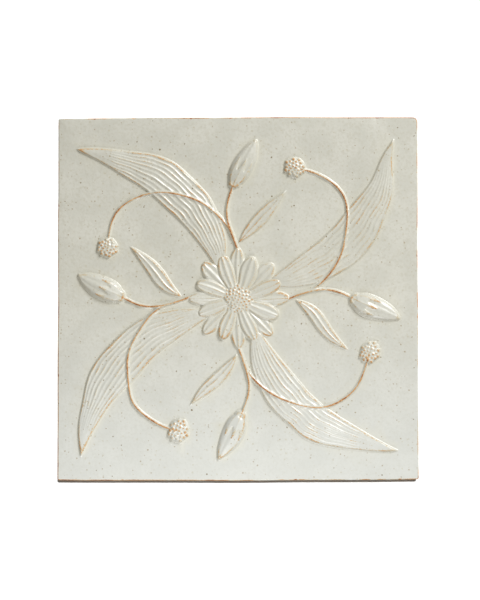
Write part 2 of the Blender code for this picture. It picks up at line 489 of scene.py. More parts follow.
@dataclass(frozen=True)
class Whirl:
    """The carved ornament: a daisy, and four arms that turn about it.

    A path's controls are distances from the middle and angles in degrees, as in the CAD model.
    Each arm is the first one turned by a quarter, with a little swing and reach of its own.
    """

    swings: tuple[float, ...] = (0.0, 1.3, -1.0, 0.7)
    reaches: tuple[float, ...] = (1.0, 0.985, 1.005, 0.99)
    broad_leaf: tuple[tuple[float, float], ...] = ((16, 34), (66, 14), (96, 34), (124, 46))
    slim_leaf: tuple[tuple[float, float], ...] = ((31, -2), (44, -12), (56, -22), (67, -25))
    bud_stem: tuple[tuple[float, float], ...] = ((20, -12), (44, 10), (52, 8), (66, 0))
    berry_stem: tuple[tuple[float, float], ...] = ((35, 4), (62, 9), (103, 40), (80, 67))
    petals: int = 8

    def line(self, arm: int, path: Sequence[tuple[float, float]]) -> Line:
        """A path of the plan, carried to an arm."""
        turn = self.swings[arm] + 360 / len(self.swings) * arm
        return Line(tuple(place(r * self.reaches[arm], degrees + turn) for r, degrees in path))

    def forms(self) -> Iterator[Leaf | Stem | Bud | BeadedDome | Petal]:
        """The forms in the order in which they are laid on the face.

        The leaves lie lowest, then the stems with their berries and buds. The daisy is on
        top, with its upper ring of petals between those of the lower ring.

        Yields:
            Every form.
        """
        arms = range(len(self.swings))
        for arm in arms:
            yield Leaf(self.line(arm, self.broad_leaf), width=24.0, height=1.25, veins=9)
            yield Leaf(self.line(arm, self.slim_leaf), width=8.5, height=1.0, veins=3)
        for arm in arms:
            berry_stem = self.line(arm, self.berry_stem)
            bud_stem = self.line(arm, self.bud_stem)
            yield Stem(berry_stem, width=2.1, end_width=1.6, height=1.15)
            end = berry_stem.controls[-1]
            yield BeadedDome(end, radius=6.4, height=1.9, bead_radius=1.05, seed=40 + arm)
            yield Stem(bud_stem)
            yield Bud(bud_stem.controls[-1], bud_stem.heading())
        for ring, (reach, height) in enumerate(((28.0, 1.25), (25.0, 1.95))):
            for n in range(self.petals):
                degrees = 360 / self.petals * (n + ring / 2)
                yield Petal(degrees, root=5.0, reach=reach, width=9.8, height=height)
        yield BeadedDome(place(0, 0), radius=9.0, height=2.5, bead_radius=1.0, seed=60)

    def carve(self, face: Face) -> None:
        """Carves every form into the face."""
        for form in self.forms():
            form.carve(face)


@dataclass(frozen=True)
class Corner:
    """A corner of the tile's outline: its sharp place and the radius that it is rounded to."""

    x: float
    y: float
    radius: float

    def centre(self) -> Array:
        """The centre of the arc that rounds the corner."""
        inset = self.radius * np.sign((self.x, self.y))
        return np.array((self.x, self.y)) - inset


@dataclass(frozen=True)
class Outline:
    """The tile seen from its face: four tapering sides that bow and waver a little."""

    corners: tuple[Corner, ...] = (
        Corner(-100.45, -100.84, 0.9),
        Corner(100.45, -100.34, 0.9),
        Corner(99.75, 100.96, 2.6),
        Corner(-99.85, 100.16, 0.9),
    )
    bows: tuple[float, ...] = (0.40, -0.10, 0.35, -0.05)
    wave: float = 0.10

    def walk(self, steps: int) -> tuple[Array, Array]:
        """Points round the outline, anticlockwise from the bottom left corner.

        Each side runs from the middle of one corner's arc to the middle of the next in equal
        steps. A point is the centre of its arc plus the radius times the outward direction, and
        both change evenly from corner to corner along the straight stretch, which is pushed
        outwards by a parabola for its bow and by a faded sine for its wave.

        Args:
            steps: How many points each side has.

        Returns:
            The points and the outward direction at each.
        """
        points, outwards = [], []
        eighth = math.pi / 4
        for side, bow in enumerate(self.bows):
            near, far = self.corners[side], self.corners[(side + 1) % 4]
            facing = math.radians(90 * side - 90)
            straight = np.hypot(*(far.centre() - near.centre()))
            walked = np.arange(steps) / steps * (eighth * (near.radius + far.radius) + straight)
            on_straight = walked - eighth * near.radius
            turned = np.clip(on_straight / near.radius, -eighth, 0)
            turned = turned + np.clip((on_straight - straight) / far.radius, 0, eighth)
            outward = np.stack((np.cos(facing + turned), np.sin(facing + turned)), axis=1)
            share = np.clip(on_straight / straight, 0, 1)[:, None]
            centre = near.centre() + (far.centre() - near.centre()) * share
            radius = near.radius + (far.radius - near.radius) * share
            push = bow * 4 * share * (1 - share)
            push = push + self.wave * np.sin(5 * np.pi * share + side) * np.sin(np.pi * share)
            points.append(centre + (radius + push) * outward)
            outwards.append(outward)
        return np.concatenate(points), np.concatenate(outwards)


def stretched(loop: Array, count: int) -> Array:
    """A square grid of points stretched over a closed loop of four equal sides.

    A Coons patch: the mean of opposite sides carried across each way, added, less the plain
    mean of the four corners.

    Args:
        loop: The loop's points, anticlockwise from the bottom left corner.
        count: The number of points along a side of the grid.

    Returns:
        The grid's points, row by row from the bottom.
    """
    ring = np.concatenate((loop, loop[:1]))
    last = count - 1
    bottom, right = ring[: last + 1], ring[last : 2 * last + 1]
    top, left = ring[2 * last : 3 * last + 1][::-1], ring[3 * last : 4 * last + 1][::-1]
    u = np.linspace(0, 1, count)[None, :, None]
    v = np.linspace(0, 1, count)[:, None, None]
    ruled = (1 - v) * bottom[None] + v * top[None] + (1 - u) * left[:, None] + u * right[:, None]
    low = (1 - u) * bottom[0] + u * bottom[-1]
    high = (1 - u) * top[0] + u * top[-1]
    return ruled - (1 - v) * low - v * high


def grid_rows(first: int, count: int) -> Array:
    """The vertex numbers of a square grid, row by row from the bottom."""
    return first + np.arange(count * count).reshape(count, count)


def grid_border(first: int, count: int) -> Array:
    """The vertex numbers round a square grid, anticlockwise from its bottom left corner."""
    rows = grid_rows(first, count)
    return np.concatenate((rows[0, :-1], rows[:-1, -1], rows[-1, :0:-1], rows[:0:-1, 0]))


def grid_quads(first: int, count: int) -> Array:
    """The quads of a square grid, anticlockwise seen from above.

    Args:
        first: The number of the grid's first vertex.
        count: The number of points along a side of the grid.

    Returns:
        The four vertex numbers of each quad.
    """
    rows = grid_rows(first, count)
    corners = rows[:-1, :-1], rows[:-1, 1:], rows[1:, 1:], rows[1:, :-1]
    return np.stack(corners, axis=-1).reshape(-1, 4)


def band_quads(upper: Array, lower: Array) -> Array:
    """The quads between two rings of as many vertices, facing out of the rings."""
    corners = upper, lower, np.roll(lower, -1), np.roll(upper, -1)
    return np.stack(corners, axis=-1)


def mesh_from(name: str, points: Array, polygons: Iterable[Array]) -> bpy.types.Mesh:
    """A mesh from whole arrays.

    Args:
        name: The mesh's name.
        points: The vertices' places, in metres.
        polygons: Arrays of polygons, each with one number of corners.

    Returns:
        The mesh, shaded smooth.
    """
    groups = list(polygons)
    corners = np.concatenate([group.ravel() for group in groups]).astype(np.int32)
    sizes = np.concatenate([np.full(len(group), group.shape[1]) for group in groups])
    starts = np.concatenate(([0], np.cumsum(sizes)[:-1])).astype(np.int32)
    mesh = bpy.data.meshes.new(name)
    mesh.vertices.add(len(points))
    mesh.vertices.foreach_set("co", points.astype(np.float32).ravel())
    mesh.loops.add(len(corners))
    mesh.loops.foreach_set("vertex_index", corners)
    mesh.polygons.add(len(starts))
    mesh.polygons.foreach_set("loop_start", starts)
    mesh.update(calc_edges=True)
    mesh.validate()
    mesh.shade_smooth()
    return mesh


def linked(name: str, data: bpy.types.ID) -> bpy.types.Object:
    """An object, linked to the scene.

    Args:
        name: The object's name.
        data: Its mesh, lamp or camera.

    Returns:
        The object.
    """
    item = bpy.data.objects.new(name, data)
    bpy.context.scene.collection.objects.link(item)
    return item


@dataclass(frozen=True)
class Back:
    """The tile's back, with keying grooves that stop short of its edges."""

    grooves: int = 6
    pitch: float = 28.0
    width: float = 7.0
    depth: float = 1.5
    length: float = 160.0

    def heights(self, x: Array, y: Array) -> Array:
        """How far the back is above the floor.

        A groove is a ball of one radius drawn along a line: √(radius² - distance²) less the
        part of the radius that is outside the clay. Between the grooves the back lies within a
        few hundredths of a millimetre of the floor, as a slab that was turned on a board does.

        Args:
            x: Places along X.
            y: Places along Y.

        Returns:
            The heights.
        """
        radius = (self.width**2 / 4 + self.depth**2) / (2 * self.depth)
        reach = (self.length - self.width) / 2
        deepest = np.zeros_like(x)
        for n in range(self.grooves):
            waver = 0.25 * ripple(x, 0 * x + n, 60.0, 71)
            middle = (n - (self.grooves - 1) / 2) * self.pitch + waver
            beyond = np.maximum(np.abs(x) - reach, 0)
            square = beyond**2 + (y - middle) ** 2
            cut = np.sqrt(np.maximum(radius**2 - square, 0)) - (radius - self.depth)
            deepest = np.maximum(deepest, cut)
        level = np.clip(0.05 + 0.04 * ripple(x, y, 23.0, 72), 0, None)
        return level + deepest


@dataclass(frozen=True)
class Edge:
    """The eased top edge of the tile, and how far the glaze has drawn back from it.

    The wear is given at the start and the end of the bottom, right, top and left side, walked
    anticlockwise. A chip is a place along the edge, as the side's number and the share of its
    length, with its half length and depth.
    """

    radius: float = 0.65
    settling: float = 50.0
    wear: tuple[tuple[float, float], ...] = ((0.94, 0.44), (0.10, 0.50), (0.95, 0.50), (0.24, 1.15))
    chips: tuple[tuple[float, float, float], ...] = (
        (1.002, 1.3, 0.05), (1.45, 0.7, 0.30), (1.62, 0.9, 0.22), (1.85, 1.0, 0.35),
        (2.11, 1.0, 0.30), (2.30, 0.6, 0.35), (2.52, 1.3, 0.30), (2.63, 0.7, 0.45),
        (2.79, 1.6, 0.38), (2.90, 0.8, 0.25), (3.24, 0.8, 0.22), (3.71, 0.9, 0.30),
        (0.18, 0.9, 0.22), (0.66, 1.1, 0.25), (0.95, 0.8, 0.30),
    )

    def shape(self, walk: Array, x: Array, y: Array) -> tuple[Array, Array]:
        """The edge's radius and the bareness of its crest at each point of the outline.

        The radius wavers by a tenth, which fades out at the corners, and each chip adds a
        parabola of its depth. The wear wavers too, and a chip is bare.

        Args:
            walk: Each point's side number plus its share of that side.
            x: The points' places along X.
            y: The points' places along Y.

        Returns:
            The radius in millimetres, and the bareness from 0 to 1.
        """
        share = walk % 1
        away = smooth(share * self.settling) * smooth((1 - share) * self.settling)
        radius = self.radius * (1 + 0.10 * ripple(x, y, 9.0, 81) * away)
        ends = np.array(self.wear)[walk.astype(int)]
        wear = ends[:, 0] + (ends[:, 1] - ends[:, 0]) * share
        bare = wear + 0.34 * ripple(x, y, 6.5, 85) * (1.25 - wear) + 0.12 * ripple(x, y, 1.9, 86)
        for spot, half_length, depth in self.chips:
            far = (walk - spot) * SIDE_LENGTH / half_length
            dent = np.clip(1 - far**2, 0, 1)
            radius = radius + depth * dent
            bare = bare + 0.8 * dent
        return radius, np.clip(bare, 0, 1.2)


@dataclass(frozen=True)
class Wall:
    """The tile's side: drawn in towards the back, glazed above a wavy line and bare below."""

    draft: float = 1.6
    foot: float = 0.8
    rings: int = 24
    glaze_thickness: float = 0.16
    line_height: float = 3.6
    line_wave: float = 0.55

    def glaze_line(self, x: Array, y: Array) -> Array:
        """How high the glaze ends: a mean height, slow waves, and drips that hang lower."""
        drips = np.clip(ripple(x, y, 19.0, 92) - 0.9, 0, None)
        return self.line_height + self.line_wave * ripple(x, y, 33.0, 91) - 1.1 * drips

    def profile(self, share: float, top: Array, x: Array, y: Array) -> tuple[Array, Array]:
        """One ring of the side.

        Its inset grows evenly downwards. Long drag marks and a rougher grain, both sums of
        sines, fade out at the top and the foot, and the glaze stands out above its line in a
        smooth step with a rolled lip.

        Args:
            share: How far down the side the ring is, from 0 to 1.
            top: The height at which the side starts.
            x: The outline's places along X.
            y: The outline's places along Y.

        Returns:
            The ring's inset and its height at each point of the outline.
        """
        height = top * (1 - share) + self.foot * share
        drag = 0.07 * ripple((x + y) * 0.12, height, 2.6, 83)
        grain = 0.05 * ripple(x + y, height * 1.5 + x - y, 4.0, 84)
        fade = smooth(np.array(share * 6)) * smooth(np.array((1 - share) * 6))
        over = height - self.glaze_line(x, y)
        lip = smooth(over / 0.5 + 0.5) * (1 + 0.5 * np.exp(-((over / 0.7) ** 2)))
        inset = self.draft * (1 - height / FACE_HEIGHT) + self.glaze_thickness * (1 - lip)
        return inset - (drag + grain) * fade, height


@dataclass
class Tile:
    """The whole tile: one closed surface over its face, its sides and its back."""

    detail: Detail
    outline: Outline = field(default_factory=Outline)
    whirl: Whirl = field(default_factory=Whirl)
    edge: Edge = field(default_factory=Edge)
    wall: Wall = field(default_factory=Wall)
    back: Back = field(default_factory=Back)
    face_swell: float = 0.10
    glaze_softening: float = 0.28
    crest_reach: float = 0.9
    edge_rings: int = 8
    foot_rings: int = 5
    back_inset: float = 0.5
    most_triangles: int = 198_000

    def turns(self, rings: int) -> Array:
        """The turns of a quarter round, one for each of its rings."""
        return np.linspace(0, math.pi / 2, rings + 1)[1:]

    def build(self) -> bpy.types.Object:
        """Carves the face, closes it with the sides and the back, and thins the mesh.

        Returns:
            The tile's object.
        """
        count = self.detail.value
        rim, outward = self.outline.walk(count - 1)
        walk = np.arange(len(rim)) / (count - 1)
        radius, bare = self.edge.shape(walk, *rim.T)
        grid = stretched(rim - outward * radius[:, None], count)
        face = Face(grid[..., 0], grid[..., 1])
        self.whirl.carve(face)
        relief = spread(face.body + face.fine, self.glaze_softening / face.pitch)
        level = FACE_HEIGHT + relief + self.face_swell * ripple(face.x, face.y, 62.0, 82)

        rings = self.rings(rim, outward, radius, level.ravel()[grid_border(0, count)])
        back_loop = rings[-1][:, :2] - outward * self.back_inset
        under = stretched(back_loop[::2], (count + 1) // 2)
        under_height = self.back.heights(under[..., 0], under[..., 1])
        points = np.concatenate((
            np.dstack((grid, level)).reshape(-1, 3),
            *rings,
            np.dstack((under, under_height)).reshape(-1, 3),
        ))
        dense = mesh_from("tile_body", points * MM, self.polygons(count, len(rings)))
        log.info("dense surface: %d points", len(points))
        self.lay_glaze(dense, points, face, bare)
        return self.thinned(dense)

    def rings(self, rim: Array, outward: Array, radius: Array, top: Array) -> list[Array]:
        """The rings of points from the face down to the back.

        A quarter round leads from the face to the side, and another from the side to the back.

        Args:
            rim: The outline's points.
            outward: The outward direction at each.
            radius: The top edge's radius at each.
            top: The height of the face's border at each.

        Returns:
            The rings, from the top down.
        """
        rings = []
        inner = rim - outward * radius[:, None]
        for turn in self.turns(self.edge_rings):
            spot = inner + outward * (radius * math.sin(turn))[:, None]
            rings.append(np.column_stack((spot, top - radius * (1 - math.cos(turn)))))
        for share in np.linspace(0, 1, self.wall.rings + 1)[1:]:
            inset, height = self.wall.profile(share, top - radius, *rim.T)
            rings.append(np.column_stack((rim - outward * inset[:, None], height)))
        drawn_in = rings[-1][:, :2]
        for turn in self.turns(self.foot_rings):
            spot = drawn_in - outward * self.wall.foot * (1 - math.cos(turn))
            height = np.full_like(top, self.wall.foot * (1 - math.sin(turn)))
            rings.append(np.column_stack((spot, height)))
        return rings

    def lay_glaze(self, dense: bpy.types.Mesh, points: Array, face: Face, bare: Array) -> None:
        """Stores on the dense mesh where its glaze is thin, where it pools under a painted warm
        shade, or where it ends, and its normals.

        A crest rises over the mean of the carving about it, and a hollow, where glaze pools and
        painted warm shade goes, lies under that mean.
        The glaze is thin on crests, most where the carving was rubbed, and round the top edge.

        Args:
            dense: The dense mesh.
            points: Its points, in millimetres.
            face: The carved face.
            bare: How bare the top edge is at each point of the outline.
        """
        carved = face.body + face.fine
        broad = spread(carved, self.crest_reach / face.pitch)
        crest = smooth((carved - broad - 0.04) / 0.30)
        thin, pool_and_shade = np.zeros((2, len(points)))
        thin[: carved.size] = np.maximum(0.40 * crest, face.bare * (0.45 + 0.55 * crest)).ravel()
        pool_and_shade[: carved.size] = smooth((broad - carved - 0.03) / 0.25).ravel()
        for n, turn in enumerate(self.turns(self.edge_rings)[1:], start=1):
            first = carved.size + n * len(bare)
            thin[first : first + len(bare)] = bare * min(1.0, 1.5 * math.sin(2 * turn))
        line = self.wall.glaze_line(points[:, 0], points[:, 1])
        for name, values in (("thin_glaze", thin), ("pooled_glaze_and_shade", pool_and_shade), ("glaze_line", line)):
            layer = dense.attributes.new(name, "FLOAT", "POINT")
            layer.data.foreach_set("value", values.astype(np.float32))
        normals = np.empty(len(points) * 3, np.float32)
        dense.vertex_normals.foreach_get("vector", normals)
        layer = dense.attributes.new("dense_normal", "FLOAT_VECTOR", "POINT")
        layer.data.foreach_set("vector", normals)

    def polygons(self, count: int, rings: int) -> Iterator[Array]:
        """The faces between the numbered vertices of the face, the rings and the back.

        The back's grid has half as many points along a side as the last ring, so pentagons
        join the two.

        Args:
            count: The number of points along a side of the face's grid.
            rings: The number of rings between the face and the back.

        Yields:
            Arrays of polygons, each with one number of corners.
        """
        yield grid_quads(0, count)
        upper = grid_border(0, count)
        for n in range(rings):
            lower = count**2 + n * len(upper) + np.arange(len(upper))
            yield band_quads(upper, lower)
            upper = lower
        back_count = (count + 1) // 2
        back_first = count**2 + rings * len(upper)
        border = grid_border(back_first, back_count)
        seam = upper[::2], border, np.roll(border, -1), np.roll(upper, -2)[::2], upper[1::2]
        yield np.stack(seam, axis=-1)
        yield grid_quads(back_first, back_count)[:, ::-1]

    def thinned(self, dense: bpy.types.Mesh) -> bpy.types.Object:
        """The dense surface with fewer triangles, which keep the dense surface's normals.

        Args:
            dense: The dense mesh.

        Returns:
            The tile's object.
        """
        body = linked("tile_body", dense)
        triangles = len(dense.loops) - 2 * len(dense.polygons)
        modifier = body.modifiers.new("thin out", "DECIMATE")
        modifier.ratio = self.most_triangles / triangles
        bpy.context.view_layer.update()
        evaluated = body.evaluated_get(bpy.context.evaluated_depsgraph_get())
        thin = bpy.data.meshes.new_from_object(evaluated)
        body.modifiers.clear()
        body.data = thin
        bpy.data.meshes.remove(dense)
        thin.name = "tile_body"
        normals = np.empty(len(thin.vertices) * 3, np.float32)
        thin.attributes["dense_normal"].data.foreach_get("vector", normals)
        normals = normals.reshape(-1, 3)
        normals /= np.maximum(np.linalg.norm(normals, axis=1, keepdims=True), 1e-6)
        thin.normals_split_custom_set_from_vertices(normals)
        thin.attributes.remove(thin.attributes["dense_normal"])
        log.info("thinned surface: %d triangles", len(thin.loops) - 2 * len(thin.polygons))
        return body


@dataclass
class Wiring:
    """A node tree that is being wired."""

    tree: bpy.types.NodeTree

    def node(self, kind: str, feeds: dict[str | int, Feed], **settings: object) -> bpy.types.Node:
        """Adds a node.

        Args:
            kind: The node's type, without its leading "ShaderNode".
            feeds: For an input's name or number, its value or the socket that it is fed from.
            settings: The node's own settings.

        Returns:
            The node.
        """
        node = self.tree.nodes.new("ShaderNode" + kind)
        for name, value in settings.items():
            setattr(node, name, value)
        self.feed(node, feeds)
        return node

    def feed(self, node: bpy.types.Node, feeds: dict[str | int, Feed]) -> None:
        """Gives a node's inputs their values, or links them to the sockets that feed them.

        Args:
            node: The node.
            feeds: For an input's name or number, its value or the socket that it is fed from.
        """
        for name, feed in feeds.items():
            if isinstance(feed, bpy.types.NodeSocket):
                self.tree.links.new(feed, node.inputs[name])
            else:
                node.inputs[name].default_value = feed

    def sum(self, operation: str, *feeds: Feed) -> bpy.types.NodeSocket:
        """The outcome of a sum with up to three numbers."""
        return self.node("Math", dict(enumerate(feeds)), operation=operation).outputs[0]

    def step(self, value: Feed, low: Feed, high: Feed) -> bpy.types.NodeSocket:
        """A smooth step from 0 where the value is low to 1 where it is high."""
        feeds = {"Value": value, "From Min": low, "From Max": high}
        return self.node("MapRange", feeds, interpolation_type="SMOOTHSTEP").outputs[0]

    def mixed(self, share: Feed, start: Feed, end: Feed) -> bpy.types.NodeSocket:
        """A colour that goes from the start to the end with the share."""
        feeds = {"Factor": share, "A": rgba(start), "B": rgba(end)}
        return self.node("Mix", feeds, data_type="RGBA").outputs["Result"]

    def carried(self, name: str) -> bpy.types.NodeSocket:
        """A number that the mesh carries."""
        return self.node("Attribute", {}, attribute_name=name).outputs["Fac"]

    def coordinate(self, axis: str) -> bpy.types.NodeSocket:
        """A place's own coordinate along one axis of the object, in metres."""
        spot = self.node("TexCoord", {}).outputs["Object"]
        return self.node("SeparateXYZ", {0: spot}).outputs[axis]

    def places(self, size: Feed, shift: Feed) -> bpy.types.NodeSocket:
        """Object coordinates as a number of sizes.

        Args:
            size: The size, in millimetres.
            shift: How many sizes the places are shifted by along each axis.

        Returns:
            The places.
        """
        spot = self.node("TexCoord", {}).outputs["Object"]
        scale = self.sum("DIVIDE", 1 / MM, size)
        scaled = self.node("VectorMath", {0: spot, "Scale": scale}, operation="SCALE").outputs[0]
        return self.node("VectorMath", {0: scaled, 1: shift}, operation="ADD").outputs[0]


def rgba(colour: Feed) -> Feed:
    """A colour with its full alpha. A socket stays as it is."""
    return (*colour, 1.0) if isinstance(colour, tuple) else colour


@dataclass(frozen=True)
class Effect(ABC):
    """A look that changes over a surface, as a shader node group with one number put out.

    The group has an input for each field of the class. An instance holds the values, or the
    sockets, that one use of the group is fed with.
    """

    @classmethod
    def group(cls) -> bpy.types.NodeTree:
        """The effect's node group, which is made when it is first used.

        Returns:
            The group.
        """
        name = cls.__name__.lower()
        if name not in bpy.data.node_groups:
            tree = bpy.data.node_groups.new(name, "ShaderNodeTree")
            number = "NodeSocketFloat"
            for item in fields(cls):
                socket = tree.interface.new_socket(item.name, in_out="INPUT", socket_type=number)
                socket.default_value = item.default
            tree.interface.new_socket("amount", in_out="OUTPUT", socket_type=number)
            wiring = Wiring(tree)
            given = tree.nodes.new("NodeGroupInput").outputs
            result = cls.wire(wiring, {item.name: given[item.name] for item in fields(cls)})
            tree.links.new(result, tree.nodes.new("NodeGroupOutput").inputs["amount"])
        return bpy.data.node_groups[name]

    @staticmethod
    @abstractmethod
    def wire(wiring: Wiring, given: dict[str, bpy.types.NodeSocket]) -> bpy.types.NodeSocket:
        """Wires the group.

        Args:
            wiring: The group's node tree.
            given: The sockets of the group's inputs, by name.

        Returns:
            The socket of the number that is put out.
        """

    def place(self, wiring: Wiring) -> bpy.types.NodeSocket:
        """Places the group in a material, fed with this instance's values."""
        feeds = {item.name: getattr(self, item.name) for item in fields(self)}
        return wiring.node("Group", feeds, node_tree=self.group()).outputs["amount"]


@dataclass(frozen=True)
class Unevenness(Effect):
    """Cloudy unevenness from 0 to 1, a noise stepped smoothly between two of its levels."""

    size: Feed = 10.0
    detail: Feed = 2.0
    low: Feed = 0.35
    high: Feed = 0.65
    shift: Feed = 0.0

    @staticmethod
    def wire(wiring: Wiring, given: dict[str, bpy.types.NodeSocket]) -> bpy.types.NodeSocket:
        """A noise on places measured in sizes, then the step.

        Args:
            wiring: The group's node tree.
            given: The sockets of the group's inputs, by name.

        Returns:
            The unevenness.
        """
        spot = wiring.places(given["size"], given["shift"])
        noise = wiring.node("TexNoise", {"Vector": spot, "Scale": 1.0, "Detail": given["detail"]})
        return wiring.step(noise.outputs["Fac"], given["low"], given["high"])


@dataclass(frozen=True)
class Specks(Effect):
    """Round specks: a ball about the middle of each cell in space, where a draw lets it be.

    The face cuts the balls at any height, and each has a draw for its size, so that the specks
    have many sizes up to the radius. A fine noise pushes the places about, which makes the
    outlines ragged.
    """

    spacing: Feed = 3.0
    radius: Feed = 0.35
    share: Feed = 0.5
    softness: Feed = 0.3
    shift: Feed = 0.0

    @staticmethod
    def wire(wiring: Wiring, given: dict[str, bpy.types.NodeSocket]) -> bpy.types.NodeSocket:
        """One less the distance from the cell's point over the ball's radius, stepped.

        Args:
            wiring: The group's node tree.
            given: The sockets of the group's inputs, by name.

        Returns:
            The mask of the specks.
        """
        spot = wiring.places(given["spacing"], given["shift"])
        share = wiring.sum("DIVIDE", given["radius"], given["spacing"])
        pace = wiring.sum("DIVIDE", 0.9, share)
        noise = wiring.node("TexNoise", {"Vector": spot, "Scale": pace, "Detail": 1.0})
        centred = {0: noise.outputs["Color"], 1: (-0.5, -0.5, -0.5)}
        push = wiring.node("VectorMath", centred, operation="ADD").outputs[0]
        reach = wiring.sum("MULTIPLY", share, 1.3)
        push = wiring.node("VectorMath", {0: push, "Scale": reach}, operation="SCALE").outputs[0]
        spot = wiring.node("VectorMath", {0: spot, 1: push}, operation="ADD").outputs[0]
        cell = wiring.node("TexVoronoi", {"Vector": spot, "Scale": 1.0})
        draws = wiring.node("SeparateXYZ", {0: cell.outputs["Color"]}).outputs
        size = wiring.sum("MULTIPLY_ADD", draws[1], 0.65, 0.35)
        far = wiring.sum("DIVIDE", cell.outputs["Distance"], wiring.sum("MULTIPLY", size, share))
        inside = wiring.step(far, 1.0, wiring.sum("SUBTRACT", 1.0, given["softness"]))
        chosen = wiring.sum("LESS_THAN", draws[0], given["share"])
        return wiring.sum("MULTIPLY", inside, chosen)


@dataclass(frozen=True)
class Flecks:
    """A kind of fleck in a glaze or a clay: its specks, how strongly they show, their colour."""

    specks: Specks
    strength: float
    colour: Colour

    def over(self, wiring: Wiring, ground: Feed) -> bpy.types.NodeSocket:
        """The ground's colour with the flecks in it."""
        mask = wiring.sum("MULTIPLY", self.specks.place(wiring), self.strength)
        return wiring.mixed(mask, ground, self.colour)


@dataclass(frozen=True)
class Breaking(Effect):
    """How far the glaze has broken: its thinness, more in some patches and crumbled finely."""

    thinness: Feed = 0.0
    patch: Feed = 14.0
    crumb: Feed = 0.9

    @staticmethod
    def wire(wiring: Wiring, given: dict[str, bpy.types.NodeSocket]) -> bpy.types.NodeSocket:
        """Thinness times a factor from 0.62 in kept patches to 1.2 in worn ones.

        The crumbs are a second factor, from 0.65 to 1.35.

        Args:
            wiring: The group's node tree.
            given: The sockets of the group's inputs, by name.

        Returns:
            How far the glaze has broken.
        """
        patch = Unevenness(given["patch"], detail=1.0, low=0.36, high=0.60, shift=5.0)
        factor = wiring.sum("MULTIPLY_ADD", patch.place(wiring), 0.58, 0.62)
        crumb = Unevenness(given["crumb"], detail=2.0, low=0.30, high=0.70, shift=9.0)
        swing = wiring.sum("MULTIPLY_ADD", crumb.place(wiring), 0.7, 0.65)
        return wiring.sum("MULTIPLY", wiring.sum("MULTIPLY", given["thinness"], factor), swing)


